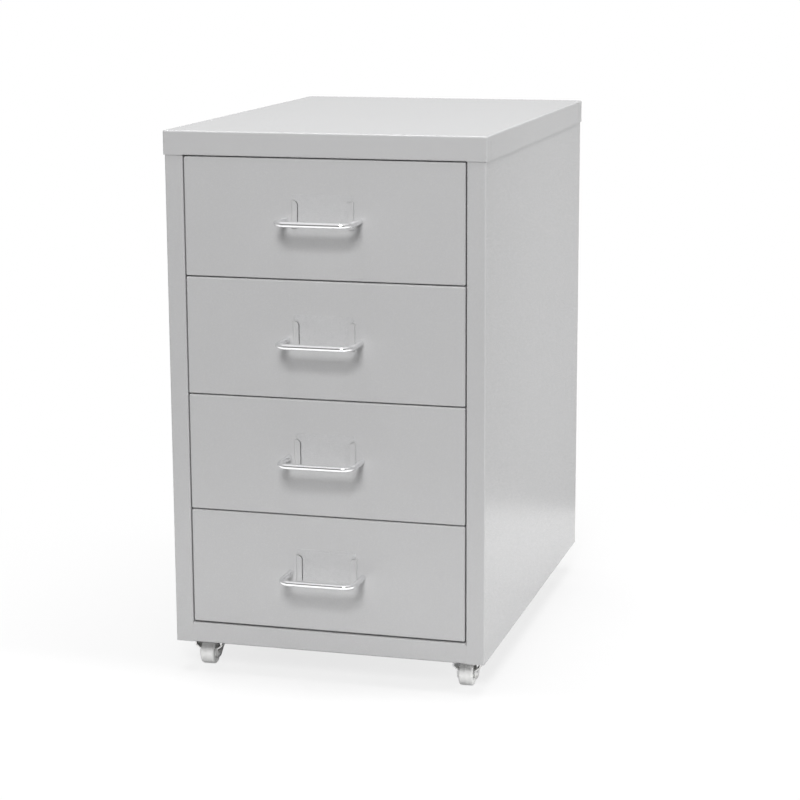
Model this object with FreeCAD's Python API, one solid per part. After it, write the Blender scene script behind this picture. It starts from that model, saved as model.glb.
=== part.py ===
import FreeCAD, Part
import math
import os

from FreeCAD import Vector

# Small sheet steel drawer cabinet on castors.
# Frame: +X to the right seen from the front, +Y to the back, +Z up, millimetres.
# Origin: on the floor, under the middle of the whole footprint with handles and screw heads.

# Driving dimensions of the cabinet
WIDTH = 280.0
DEPTH = 410.0
BODY_HEIGHT = 448.0
DRAWERS = 4

# Folded sheet
SHEET = 0.8
INNER_BEND = 0.6
OUTER_BEND = INNER_BEND + SHEET
OVERRUN = 5.0

# Top cover, an upside-down tray over the body
COVER_CLEARANCE = 0.2
COVER_PROUD = SHEET + COVER_CLEARANCE
COVER_FLANGE = 20.6
COVER_RETURN = 9.0
COVER_FRONT_TAB = 14.0
COVER_BACK_TAB = 16.0
TAB_SLIT = 0.4
FRONT_SLIT_START = 5.0

# Side panels with the front posts folded on them
POST_WIDTH = 16.0
POST_LIP = 10.8
REAR_FLANGE = 16.0
TOP_FLANGE = 12.0
TOP_FLANGE_SETBACK = 20.0

# Bottom panel with the front rail folded on it
RAIL_HEIGHT = 18.0
RAIL_RETURN = 9.0
FLOOR_CLEARANCE = 0.3
FLOOR_FLANGE = 14.0

# Back panel
BACK_FLANGE = 12.0
BACK_CLEARANCE = 0.2

# Self-tapping screws of the back panel and of the cover
SCREW_RADIUS = 1.5
SCREW_HEAD_RADIUS = 3.4
SCREW_HEAD_HEIGHT = 1.8
SCREW_LENGTH = 7.0
SCREW_CLEARANCE = 0.1
SCREW_SLOT_WIDTH = 0.7
SCREW_SLOT_LENGTH = 3.6
SCREW_SLOT_DEPTH = 0.8
SCREW_END_DISTANCE = 18.0
SCREWS_UP_THE_BACK = 3

# Drawer fronts in the opening
GAP_BETWEEN = 0.9
GAP_TOP = 1.0
GAP_BOTTOM = 1.4
GAP_SIDE = 0.9
FRONT_PAN = 10.0
DRAWER_TRAVEL = 290.0

# Drawer trays, hung by their rims
RIM_WIDTH = 4.0
RIM_INSET = 2.3
RIM_DROP = 7.8
TRAY_REAR_SPACE = 22.0
TRAY_TAB = 9.0
TRAY_TAB_SHORTFALL = 5.0
STOP_TAB_HEIGHT = 3.6
STOP_TAB_THICKNESS = 1.2

# Channel rails that carry the rims
RUNNER_SHEET = 1.0
RUNNER_CLEARANCE = 0.3
RUNNER_CHANNEL = 6.0
RUNNER_OVERLAP = 2.8
RUNNER_FRONT_GAP = 0.7
RUNNER_STOP_DROP = 2.8
STOP_CLEARANCE = 0.5

# Wire handle of each drawer
WIRE_RADIUS = 2.5
HANDLE_SPACING = 64.5
HANDLE_REACH = 33.0
HANDLE_BEND = 9.0
STUD_RADIUS = 2.0
STUD_CLEARANCE = 0.1
STUD_END = 1.5
NUT_HEIGHT = 3.2
NUT_ACROSS_FLATS = 7.0
NUT_CLEARANCE = 0.05
NUT_CHAMFER = 0.5

# Label holder above each handle: two lanced tabs and a clear sleeve behind them
LABEL_TAB_WIDTH = 5.4
LABEL_TAB_ABOVE = 16.0
LABEL_TAB_BELOW = 7.0
LABEL_TAB_CORNER = 3.8
LABEL_TAB_LOWER_CORNER = 1.5
LABEL_TAB_LEG_GAP = 2.45
LABEL_TAB_STANDOFF = 0.8
LABEL_WINDOW_MARGIN = 0.3
SLEEVE_THICKNESS = 0.5
SLEEVE_ABOVE = 21.5
SLEEVE_BELOW = 6.0
SLEEVE_SIDE_GAP = 0.3

# Castors
WHEEL_RADIUS = 10.5
WHEEL_WIDTH = 12.5
WHEEL_EDGE = 2.0
WHEEL_HUB_RADIUS = 4.2
WHEEL_HUB_PROUD = 0.3
WHEEL_RECESS_OUTER = 7.9
WHEEL_RECESS_DEPTH = 1.0
WHEEL_SIDE_GAP = 0.5
WHEEL_CROWN_GAP = 2.6
AXLE_RADIUS = 1.5
AXLE_CLEARANCE = 0.05
AXLE_HEAD_RADIUS = 3.2
AXLE_HEAD_HEIGHT = 1.3
FORK_SHEET = 1.2
FORK_INNER_BEND = 0.8
FORK_FLARE = 4.4
FORK_SHOULDER_DROP = 7.7
FORK_FLARE_DROP = 3.1
FORK_REAR_DROP = 6.0
FORK_BOSS_RADIUS = 4.6
CHEEK_CORNER_SHARE = 0.9
CROWN_RADIUS = 12.2
RACE_HEIGHT = 1.7
RACE_GAP = 0.3
PLATE_THICKNESS = 1.2
PLATE_WIDTH = 36.0
PLATE_DEPTH = 32.0
PLATE_CORNER = 4.0
CASTOR_TRAIL = 8.0
FRONT_CASTOR_INSET_SIDE = 22.0
REAR_CASTOR_INSET_SIDE = 29.0
CASTOR_INSET_FRONT = 36.0
CASTOR_INSET_BACK = 36.0
KINGPIN_RADIUS = 2.5
KINGPIN_CLEARANCE = 0.05
KINGPIN_HEAD_RADIUS = 4.2
KINGPIN_HEAD_HEIGHT = 1.3
KINGPIN_HEAD_GAP = 0.3
KINGPIN_TOP_RADIUS = 4.0
KINGPIN_TOP_HEIGHT = 1.0
KINGPIN_HOLE_MARGIN = 1.0
RIVET_RADIUS = 1.6
RIVET_CLEARANCE = 0.05
RIVET_HEAD_RADIUS = 3.0
RIVET_HEAD_HEIGHT = 0.9
RIVET_TAIL_RADIUS = 2.4
RIVET_TAIL_HEIGHT = 1.8
RIVET_EDGE_DISTANCE = 5.5

# Places worked out from the sizes above
CASTOR_HEIGHT = (2 * WHEEL_RADIUS + WHEEL_CROWN_GAP + FORK_SHEET + RACE_HEIGHT
                 + RACE_GAP + PLATE_THICKNESS)
BODY_BOTTOM = CASTOR_HEIGHT
TOP = BODY_BOTTOM + BODY_HEIGHT
HANDLE_OUT = HANDLE_REACH + WIRE_RADIUS
FOOTPRINT_DEPTH = HANDLE_OUT - COVER_PROUD + DEPTH + SCREW_HEAD_HEIGHT
FRONT = HANDLE_OUT - FOOTPRINT_DEPTH / 2
BACK = FRONT + DEPTH - 2 * COVER_PROUD
BODY_HALF = WIDTH / 2 - COVER_PROUD
INSIDE_HALF = BODY_HALF - SHEET
OPENING_HALF = BODY_HALF - POST_WIDTH
OPENING_LOW = BODY_BOTTOM + RAIL_HEIGHT
OPENING_HIGH = TOP - COVER_FLANGE
FLOOR_TOP = BODY_BOTTOM + SHEET
FRONT_HEIGHT = (OPENING_HIGH - OPENING_LOW - GAP_TOP - GAP_BOTTOM
                - (DRAWERS - 1) * GAP_BETWEEN) / DRAWERS
PITCH = FRONT_HEIGHT + GAP_BETWEEN
FRONT_HALF = OPENING_HALF - GAP_SIDE
RIM_HALF = FRONT_HALF - RIM_INSET
TRAY_HALF = RIM_HALF - RIM_WIDTH
TRAY_FRONT = FRONT + SHEET
TRAY_BACK = BACK - TRAY_REAR_SPACE
RUNNER_INNER = RIM_HALF - RUNNER_OVERLAP
RUNNER_FRONT = FRONT + POST_LIP + RUNNER_FRONT_GAP
RUNNER_BACK = TRAY_BACK + RUNNER_CLEARANCE + RUNNER_SHEET


# Outlines and folded sheet

def point_at(axis, along, u, v):
    """Point in space of a flat outline's point, the outline lying across the axis."""
    if axis == "x":
        return Vector(along, u, v)
    if axis == "y":
        return Vector(u, along, v)
    return Vector(u, v, along)


def outline_edges(points, radii):
    """Straight edges of a closed outline with a tangent arc at each corner that has a radius."""
    corners = []
    for i, here in enumerate(points):
        before = (points[i - 1] - here).normalize()
        after = (points[(i + 1) % len(points)] - here).normalize()
        if radii[i] > 0:
            half = before.getAngle(after) / 2
            reach = radii[i] / math.tan(half)
            middle = (before + after).normalize() * (radii[i] / math.sin(half) - radii[i])
            corners.append((here + before * reach, here + middle, here + after * reach))
        else:
            corners.append((here, None, here))
    edges = []
    for i, (start, middle, end) in enumerate(corners):
        if middle:
            edges.append(Part.Arc(start, middle, end).toShape())
        following = corners[(i + 1) % len(corners)][0]
        if (following - end).Length > 0:
            edges.append(Part.makeLine(end, following))
    return edges


def prism(axis, start, end, points, radii=None):
    """Solid of a flat outline, run along an axis from start to end."""
    places = [point_at(axis, start, u, v) for u, v in points]
    edges = outline_edges(places, radii or [0] * len(points))
    face = Part.Face(Part.Wire(Part.__sortEdges__(edges)))
    return face.extrude(point_at(axis, end - start, 0, 0))


def folded(axis, start, end, path, side, sheet=SHEET, inner_bend=INNER_BEND):
    """Bent sheet along a path of its outline, material to the path's left (side 1) or right (-1)."""
    lines = []
    for (u0, v0), (u1, v1) in zip(path, path[1:]):
        length = math.hypot(u1 - u0, v1 - v0)
        lines.append(((u1 - u0) / length, (v1 - v0) / length))
    normals = [(-v * side, u * side) for u, v in lines]
    other = []
    near_radii = []
    far_radii = []
    for i, (u, v) in enumerate(path):
        one = normals[max(i - 1, 0)]
        two = normals[min(i, len(normals) - 1)]
        share = sheet / (1 + one[0] * two[0] + one[1] * two[1])
        other.append((u + (one[0] + two[0]) * share, v + (one[1] + two[1]) * share))
        if 0 < i < len(path) - 1:
            turn = lines[i - 1][0] * lines[i][1] - lines[i - 1][1] * lines[i][0]
            outside = turn * side > 0
            near_radii.append(inner_bend + sheet if outside else inner_bend)
            far_radii.append(inner_bend if outside else inner_bend + sheet)
        else:
            near_radii.append(0)
            far_radii.append(0)
    points = list(path) + other[::-1]
    return prism(axis, start, end, points, near_radii + far_radii[::-1])


def block(x0, x1, y0, y1, z0, z1):
    """Box between two corners."""
    low = Vector(min(x0, x1), min(y0, y1), min(z0, z1))
    return Part.makeBox(abs(x1 - x0), abs(y1 - y0), abs(z1 - z0), low)


def rounded_block(low, high, open_axis, open_end, radius):
    """Box rounded on every edge but the four round its open end."""
    box = Part.makeBox(*(high - low), low)
    index = "xyz".index(open_axis)
    edges = []
    for edge in box.Edges:
        if any(abs(vertex.Point[index] - open_end) > radius for vertex in edge.Vertexes):
            edges.append(edge)
    return box.makeFillet(radius, edges)


def pan(low, high, open_axis, open_sign):
    """Closed-corner pan of sheet, open on one side."""
    index = "xyz".index(open_axis)
    ends = (low, high)
    outer = rounded_block(low, high, open_axis, ends[open_sign > 0][index], OUTER_BEND)
    inner_low = low + Vector(SHEET, SHEET, SHEET)
    inner_high = high - Vector(SHEET, SHEET, SHEET)
    if open_sign > 0:
        inner_high[index] = high[index] + OVERRUN
        inner = rounded_block(inner_low, inner_high, open_axis, inner_high[index], INNER_BEND)
    else:
        inner_low[index] = low[index] - OVERRUN
        inner = rounded_block(inner_low, inner_high, open_axis, inner_low[index], INNER_BEND)
    return outer.cut(inner)


def rod(axis, start, end, radius, u, v):
    """Round bar along an axis through the point u, v of the plane across it."""
    length = abs(end - start)
    return Part.makeCylinder(radius, length, point_at(axis, min(start, end), u, v),
                             point_at(axis, 1, 0, 0))


def dome(axis, base, sign, radius, height, u, v):
    """Domed head standing on a plane across the axis, on its plus or minus side."""
    ball = (radius * radius + height * height) / (2 * height)
    centre = base + sign * (height - ball)
    whole = Part.makeSphere(ball, point_at(axis, centre, u, v), point_at(axis, 1, 0, 0))
    return whole.common(rod(axis, base, base + sign * height, radius, u, v))


def both_sides(shape):
    """The shape and its mirror image across the middle of the cabinet."""
    return [shape, shape.mirror(Vector(0, 0, 0), Vector(1, 0, 0))]


def joined(first, *others):
    """One solid of shapes that touch."""
    return first.fuse(list(others)).removeSplitter()


def write(name, shape):
    """One STEP file for one named piece, or for one group of like pieces."""
    shape.exportStep("parts/" + name + ".step")


# Carcass

def rear_screw_places():
    """Middles of the back panel's screws, as x and z."""
    low = BODY_BOTTOM + SCREW_END_DISTANCE
    high = TOP - COVER_FLANGE - SCREW_END_DISTANCE
    step = (high - low) / (SCREWS_UP_THE_BACK - 1)
    x = BODY_HALF - REAR_FLANGE / 2
    return [(s * x, low + i * step) for s in (-1, 1) for i in range(SCREWS_UP_THE_BACK)]


def cover_screw_places():
    """Middles of the cover's screws in its back flange, as x and z."""
    x = BODY_HALF - REAR_FLANGE / 2
    return [(s * x, TOP - COVER_FLANGE / 2) for s in (-1, 1)]


def drilled_from_back(shape, places):
    """Shape with screw holes through its sheets at the back of the cabinet."""
    radius = SCREW_RADIUS + SCREW_CLEARANCE
    low = BACK - SCREW_LENGTH - SHEET
    holes = [rod("y", low, BACK + COVER_PROUD + OVERRUN, radius, x, z) for x, z in places]
    return shape.cut(holes)


def top_cover():
    """Upside-down tray; the front and back flanges wrap round the corners as short tabs."""
    front = FRONT - COVER_PROUD
    back = BACK + COVER_PROUD
    half = WIDTH / 2
    low = TOP - COVER_FLANGE
    shape = pan(Vector(-half, front, low), Vector(half, back, TOP), "z", -1)
    inner = OPENING_HALF - FLOOR_CLEARANCE
    lip = folded("x", -inner, inner,
                 [(front + COVER_RETURN, low), (front, low), (front, low + COVER_FLANGE / 2)], -1)
    square_edge = block(-inner, inner, front - OVERRUN, front + SHEET,
                        low - OVERRUN, low + COVER_FLANGE / 2)
    shape = joined(shape.cut(square_edge), lip)
    bend_line = TOP - OUTER_BEND
    slits = []
    for y, high in ((front + COVER_FRONT_TAB, TOP - FRONT_SLIT_START),
                    (back - COVER_BACK_TAB, bend_line)):
        for s in (-1, 1):
            slits.append(block(s * (half - OUTER_BEND), s * (half + OVERRUN),
                               y, y + TAB_SLIT, low - OVERRUN, high))
    return drilled_from_back(shape.cut(slits), cover_screw_places())


def side_panel():
    """Left side: one sheet folded into the front post, its lip, and the rear flange."""
    path = [(-OPENING_HALF, FRONT + POST_LIP), (-OPENING_HALF, FRONT), (-BODY_HALF, FRONT),
            (-BODY_HALF, BACK), (-BODY_HALF + REAR_FLANGE, BACK)]
    sheet = folded("z", BODY_BOTTOM, TOP - SHEET - INNER_BEND, path, -1)
    flange = folded("y", FRONT + TOP_FLANGE_SETBACK, BACK - TOP_FLANGE_SETBACK,
                    [(-BODY_HALF, TOP - SHEET - TOP_FLANGE), (-BODY_HALF, TOP - SHEET),
                     (-BODY_HALF + TOP_FLANGE, TOP - SHEET)], -1)
    return drilled_from_back(joined(sheet, flange), rear_screw_places() + cover_screw_places())


def bottom_panel():
    """Floor between the sides, with the front rail and two side flanges folded up."""
    rail_half = OPENING_HALF - FLOOR_CLEARANCE
    floor_front = FRONT + POST_LIP + FLOOR_CLEARANCE
    floor_back = BACK - SHEET - INNER_BEND - FLOOR_CLEARANCE
    path = [(FRONT + RAIL_RETURN, OPENING_LOW), (FRONT, OPENING_LOW), (FRONT, BODY_BOTTOM),
            (floor_front + OVERRUN, BODY_BOTTOM)]
    rail = folded("x", -rail_half, rail_half, path, 1)
    sides = [(-INSIDE_HALF, BODY_BOTTOM + FLOOR_FLANGE), (-INSIDE_HALF, BODY_BOTTOM),
             (INSIDE_HALF, BODY_BOTTOM), (INSIDE_HALF, BODY_BOTTOM + FLOOR_FLANGE)]
    floor = folded("y", floor_front, floor_back, sides, 1)
    shape = joined(rail, floor)
    holes = []
    for x, y in castor_places():
        holes.append(rod("z", BODY_BOTTOM - OVERRUN, FLOOR_TOP + OVERRUN,
                         KINGPIN_TOP_RADIUS + KINGPIN_HOLE_MARGIN, x, y))
        for rx, ry in rivet_places(x, y):
            holes.append(rod("z", BODY_BOTTOM - OVERRUN, FLOOR_TOP + OVERRUN,
                             RIVET_RADIUS + RIVET_CLEARANCE, rx, ry))
    return shape.cut(holes)


def back_panel():
    """Flat sheet inside the rear flanges, turned forward at the top and at the bottom."""
    outer = BACK - SHEET
    low = FLOOR_TOP
    high = TOP - SHEET
    half = INSIDE_HALF - SHEET - INNER_BEND - BACK_CLEARANCE
    path = [(outer - BACK_FLANGE, low), (outer, low), (outer, high), (outer - BACK_FLANGE, high)]
    return drilled_from_back(folded("x", -half, half, path, 1),
                             rear_screw_places() + cover_screw_places())


def screw(x, z, seat):
    """Domed self-tapping screw with a cross slot, driven forward from the back."""
    shank = rod("y", seat - SCREW_LENGTH, seat, SCREW_RADIUS, x, z)
    head = dome("y", seat, 1, SCREW_HEAD_RADIUS, SCREW_HEAD_HEIGHT, x, z)
    top = seat + SCREW_HEAD_HEIGHT
    wide = SCREW_SLOT_LENGTH / 2
    thin = SCREW_SLOT_WIDTH / 2
    slots = [block(x - wide, x + wide, top - SCREW_SLOT_DEPTH, top + OVERRUN, z - thin, z + thin),
             block(x - thin, x + thin, top - SCREW_SLOT_DEPTH, top + OVERRUN, z - wide, z + wide)]
    return joined(shank, head).cut(slots)


def back_panel_screws():
    """The back panel's screws through the rear flanges."""
    return Part.makeCompound([screw(x, z, BACK) for x, z in rear_screw_places()])


def cover_screws():
    """The cover's screws through its back flange."""
    return Part.makeCompound([screw(x, z, BACK + COVER_PROUD) for x, z in cover_screw_places()])


# Drawers

def front_low(n):
    """Lower edge of drawer front n, counted from the top."""
    return OPENING_HIGH - GAP_TOP - FRONT_HEIGHT - (n - 1) * PITCH


def rim_top(n):
    """Upper face of the tray's rim."""
    return front_low(n) + FRONT_HEIGHT - RIM_DROP


def handle_level(n):
    """Height of the handle, at mid-height of the drawer front."""
    return front_low(n) + FRONT_HEIGHT / 2


def label_tab_outer():
    """Distance of a label tab's outer side from the middle of the drawer."""
    return HANDLE_SPACING / 2 - WIRE_RADIUS - LABEL_TAB_LEG_GAP


def drawer_front(n):
    """Pan-shaped front with two stud holes and two lanced tabs for the label."""
    low = front_low(n)
    middle = handle_level(n)
    shape = pan(Vector(-FRONT_HALF, FRONT, low),
                Vector(FRONT_HALF, FRONT + FRONT_PAN, low + FRONT_HEIGHT), "y", 1)
    stud_hole = rod("y", FRONT - OVERRUN, FRONT + FRONT_PAN, STUD_RADIUS + STUD_CLEARANCE,
                    HANDLE_SPACING / 2, middle)
    outer = label_tab_outer()
    low_tab = middle - LABEL_TAB_BELOW
    high_tab = middle + LABEL_TAB_ABOVE
    face = FRONT - LABEL_TAB_STANDOFF - SHEET
    tab = folded("z", low_tab, high_tab,
                 [(outer, FRONT + SHEET), (outer, face), (outer - LABEL_TAB_WIDTH, face)], -1)
    rounded = prism("y", face - OVERRUN, FRONT + FRONT_PAN,
                    [(outer - LABEL_TAB_WIDTH, low_tab), (outer + OVERRUN, low_tab),
                     (outer + OVERRUN, high_tab), (outer - LABEL_TAB_WIDTH, high_tab)],
                    [LABEL_TAB_LOWER_CORNER, 0, 0, LABEL_TAB_CORNER])
    tab = tab.common(rounded)
    inner = outer - LABEL_TAB_WIDTH - LABEL_WINDOW_MARGIN
    window = prism("y", FRONT - OVERRUN, FRONT + SHEET + INNER_BEND,
                   [(inner, low_tab), (outer - SHEET, low_tab), (outer - SHEET, high_tab),
                    (inner, high_tab)], [LABEL_TAB_LOWER_CORNER, 0, 0, LABEL_TAB_CORNER])
    shape = shape.cut(both_sides(stud_hole) + both_sides(window))
    return joined(shape, *both_sides(tab))


def drawer_tray(n):
    """Floor, sides with outward rims, back, and two tabs welded behind the front."""
    bottom = front_low(n) + SHEET
    top = rim_top(n)
    under = top - SHEET
    path = [(-RIM_HALF, under), (-TRAY_HALF, under), (-TRAY_HALF, bottom),
            (TRAY_HALF, bottom), (TRAY_HALF, under), (RIM_HALF, under)]
    trough = folded("y", TRAY_FRONT + INNER_BEND, TRAY_BACK, path, 1)
    inner = TRAY_HALF - SHEET
    back = folded("x", -inner, inner,
                  [(TRAY_BACK - SHEET - RIM_WIDTH, bottom), (TRAY_BACK, bottom),
                   (TRAY_BACK, top), (TRAY_BACK - SHEET - RIM_WIDTH, top)], 1)
    front_tab = block(TRAY_HALF - SHEET, TRAY_HALF - TRAY_TAB, TRAY_FRONT, TRAY_FRONT + SHEET,
                      bottom + OUTER_BEND, top - TRAY_TAB_SHORTFALL)
    stop_tab = block(RUNNER_INNER, RIM_HALF, TRAY_BACK - STOP_TAB_THICKNESS, TRAY_BACK,
                     top - SHEET / 2, top + STOP_TAB_HEIGHT)
    return joined(trough, back, *both_sides(front_tab), *both_sides(stop_tab))


def wire_bail(level):
    """Bent wire from face to bar and back to the face, run along one smooth path."""
    x = HANDLE_SPACING / 2
    bar = FRONT - HANDLE_REACH
    r = HANDLE_BEND
    bow = r * (1 - math.sqrt(1 / 2))
    points = [Vector(-x, FRONT, level), Vector(-x, bar + r, level),
              Vector(-x + bow, bar + bow, level), Vector(-x + r, bar, level),
              Vector(x - r, bar, level), Vector(x - bow, bar + bow, level),
              Vector(x, bar + r, level), Vector(x, FRONT, level)]
    path = Part.Wire([Part.makeLine(points[0], points[1]),
                      Part.Arc(points[1], points[2], points[3]).toShape(),
                      Part.makeLine(points[3], points[4]),
                      Part.Arc(points[4], points[5], points[6]).toShape(),
                      Part.makeLine(points[6], points[7])])
    section = Part.Wire(Part.makeCircle(WIRE_RADIUS, points[0], Vector(0, 1, 0)))
    return path.makePipeShell([section], True, True)


def handle(n):
    """Wire handle: bail with a thinner stud at each end, which passes the drawer front."""
    level = handle_level(n)
    stud = rod("y", FRONT - STUD_RADIUS, FRONT + SHEET + NUT_HEIGHT + STUD_END, STUD_RADIUS,
               HANDLE_SPACING / 2, level)
    return joined(wire_bail(level), *both_sides(stud))


def handle_nuts(n):
    """Two hexagon nuts behind the drawer front, on the handle's studs."""
    level = handle_level(n)
    seat = FRONT + SHEET
    corner = NUT_ACROSS_FLATS / math.sqrt(3)
    x = HANDLE_SPACING / 2
    places = []
    for i in range(6):
        turn = math.radians(60 * i)
        places.append((x + corner * math.cos(turn), level + corner * math.sin(turn)))
    body = prism("y", seat, seat + NUT_HEIGHT, places)
    slope = NUT_HEIGHT + NUT_CHAMFER
    cone = Part.makeCone(corner + slope - NUT_CHAMFER, corner - NUT_CHAMFER, slope,
                         Vector(x, seat - NUT_CHAMFER, level), Vector(0, 1, 0))
    hole = rod("y", seat - OVERRUN, seat + NUT_HEIGHT + OVERRUN, STUD_RADIUS + NUT_CLEARANCE,
               x, level)
    return Part.makeCompound(both_sides(body.common(cone).cut(hole)))


def label_sleeve(n):
    """Clear flat sleeve held between the front and its two tabs."""
    middle = handle_level(n)
    half = label_tab_outer() - SHEET - SLEEVE_SIDE_GAP
    rear = FRONT - (LABEL_TAB_STANDOFF - SLEEVE_THICKNESS) / 2
    return block(-half, half, rear - SLEEVE_THICKNESS, rear,
                 middle - SLEEVE_BELOW, middle + SLEEVE_ABOVE)


def runner(n):
    """Left channel rail of drawer n, welded to the side panel, with its two stops."""
    ledge = rim_top(n) - SHEET - RUNNER_CLEARANCE
    under = ledge - RUNNER_SHEET
    over = ledge + RUNNER_CHANNEL
    path = [(-RUNNER_INNER, under), (-INSIDE_HALF, under),
            (-INSIDE_HALF, over + RUNNER_SHEET), (-RUNNER_INNER, over + RUNNER_SHEET)]
    rail = folded("y", RUNNER_FRONT, RUNNER_BACK, path, -1, RUNNER_SHEET)
    end_stop = block(-RUNNER_INNER, -INSIDE_HALF + RUNNER_SHEET / 2,
                     RUNNER_BACK - RUNNER_SHEET, RUNNER_BACK,
                     ledge - RUNNER_SHEET / 2, over + RUNNER_SHEET / 2)
    stop_back = TRAY_BACK - STOP_TAB_THICKNESS - DRAWER_TRAVEL - STOP_CLEARANCE
    pull_stop = block(-RUNNER_INNER, -RIM_HALF, stop_back - STOP_TAB_THICKNESS, stop_back,
                      over - RUNNER_STOP_DROP, over + RUNNER_SHEET / 2)
    return joined(rail, end_stop, pull_stop)


# Castors

def castor_places():
    """Swivel axes of the four castors, as x and y."""
    front_x = WIDTH / 2 - FRONT_CASTOR_INSET_SIDE
    rear_x = WIDTH / 2 - REAR_CASTOR_INSET_SIDE
    front = FRONT + CASTOR_INSET_FRONT
    back = BACK - CASTOR_INSET_BACK
    return [(-front_x, front), (front_x, front), (-rear_x, back), (rear_x, back)]


def rivet_places(x, y):
    """Middles of the four rivets of the castor plate at x, y."""
    across = PLATE_WIDTH / 2 - RIVET_EDGE_DISTANCE
    along = PLATE_DEPTH / 2 - RIVET_EDGE_DISTANCE
    return [(x + i * across, y + j * along) for i in (-1, 1) for j in (-1, 1)]


def castor_plate(x, y):
    """Flat top plate with rounded corners, riveted under the cabinet floor."""
    wide = PLATE_WIDTH / 2
    deep = PLATE_DEPTH / 2
    corners = [(x - wide, y - deep), (x + wide, y - deep), (x + wide, y + deep),
               (x - wide, y + deep)]
    low = BODY_BOTTOM - PLATE_THICKNESS
    plate = prism("z", low, BODY_BOTTOM, corners, [PLATE_CORNER] * len(corners))
    holes = [rod("z", low - OVERRUN, BODY_BOTTOM + OVERRUN, KINGPIN_RADIUS + KINGPIN_CLEARANCE,
                 x, y)]
    for rx, ry in rivet_places(x, y):
        holes.append(rod("z", low - OVERRUN, BODY_BOTTOM + OVERRUN,
                         RIVET_RADIUS + RIVET_CLEARANCE, rx, ry))
    return plate.cut(holes)


def crown_top():
    """Upper face of the fork's race."""
    return BODY_BOTTOM - PLATE_THICKNESS - RACE_GAP


def castor_kingpin(x, y):
    """Stepped rivet that holds the fork under its plate and lets it swivel."""
    under = crown_top() - RACE_HEIGHT - FORK_SHEET - KINGPIN_HEAD_GAP
    shank = rod("z", under - KINGPIN_HEAD_HEIGHT / 2, BODY_BOTTOM + KINGPIN_TOP_HEIGHT / 2,
                KINGPIN_RADIUS, x, y)
    head = dome("z", under, -1, KINGPIN_HEAD_RADIUS, KINGPIN_HEAD_HEIGHT, x, y)
    top = dome("z", BODY_BOTTOM, 1, KINGPIN_TOP_RADIUS, KINGPIN_TOP_HEIGHT, x, y)
    return joined(shank, head, top)


def castor_rivets():
    """Rivets of the four castor plates: domed head below, formed tail above the floor."""
    rivets = []
    for cx, cy in castor_places():
        for x, y in rivet_places(cx, cy):
            low = BODY_BOTTOM - PLATE_THICKNESS
            shank = rod("z", low, FLOOR_TOP, RIVET_RADIUS, x, y)
            head = dome("z", low, -1, RIVET_HEAD_RADIUS, RIVET_HEAD_HEIGHT, x, y)
            tail = dome("z", FLOOR_TOP, 1, RIVET_TAIL_RADIUS, RIVET_TAIL_HEIGHT, x, y)
            rivets.append(joined(shank, head, tail))
    return Part.makeCompound(rivets)


def castor_fork(x, y):
    """Pressed fork: square shoulders narrowing to the axle, and a round race on the crown."""
    crown = crown_top() - RACE_HEIGHT
    cheek = WHEEL_WIDTH / 2 + WHEEL_HUB_PROUD + WHEEL_SIDE_GAP + FORK_SHEET
    wide = cheek + FORK_FLARE
    low = WHEEL_RADIUS - FORK_BOSS_RADIUS
    shoulder = crown - FORK_SHOULDER_DROP
    flare_low = shoulder - FORK_FLARE_DROP
    section = [(x - cheek, low), (x - cheek, flare_low), (x - wide, shoulder), (x - wide, crown),
               (x + wide, crown), (x + wide, shoulder), (x + cheek, flare_low), (x + cheek, low)]
    bent = folded("y", y - CASTOR_TRAIL - CROWN_RADIUS, y + CROWN_RADIUS, section, -1,
                  FORK_SHEET, FORK_INNER_BEND)
    axle_y = y - CASTOR_TRAIL
    boss = FORK_BOSS_RADIUS
    outline = [(y + CROWN_RADIUS, crown), (y - CROWN_RADIUS, crown),
               (y - CROWN_RADIUS, crown - 2 * FORK_SHEET), (axle_y - boss, WHEEL_RADIUS + boss),
               (axle_y - boss, WHEEL_RADIUS - boss), (axle_y + boss, WHEEL_RADIUS - boss),
               (y + CROWN_RADIUS, crown - FORK_REAR_DROP)]
    corner = boss * CHEEK_CORNER_SHARE
    side = prism("x", x - wide - OVERRUN, x + wide + OVERRUN, outline,
                 [0, 0, boss, boss, corner, corner, boss])
    race = rod("z", crown - FORK_SHEET / 2, crown_top(), CROWN_RADIUS, x, y)
    body = joined(bent.common(side), race)
    kingpin_hole = rod("z", low, BODY_BOTTOM, KINGPIN_RADIUS + KINGPIN_CLEARANCE, x, y)
    axle_hole = rod("x", x - wide - OVERRUN, x + wide + OVERRUN, AXLE_RADIUS + AXLE_CLEARANCE,
                    axle_y, WHEEL_RADIUS)
    return body.cut([kingpin_hole, axle_hole])


def castor_axle(x, y):
    """Rivet through both cheeks, on which the wheel turns."""
    outside = WHEEL_WIDTH / 2 + WHEEL_HUB_PROUD + WHEEL_SIDE_GAP + FORK_SHEET
    axle_y = y - CASTOR_TRAIL
    reach = outside + AXLE_HEAD_HEIGHT / 2
    shank = rod("x", x - reach, x + reach, AXLE_RADIUS, axle_y, WHEEL_RADIUS)
    heads = [dome("x", x + s * outside, s, AXLE_HEAD_RADIUS, AXLE_HEAD_HEIGHT,
                  axle_y, WHEEL_RADIUS) for s in (-1, 1)]
    return joined(shank, *heads)


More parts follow.
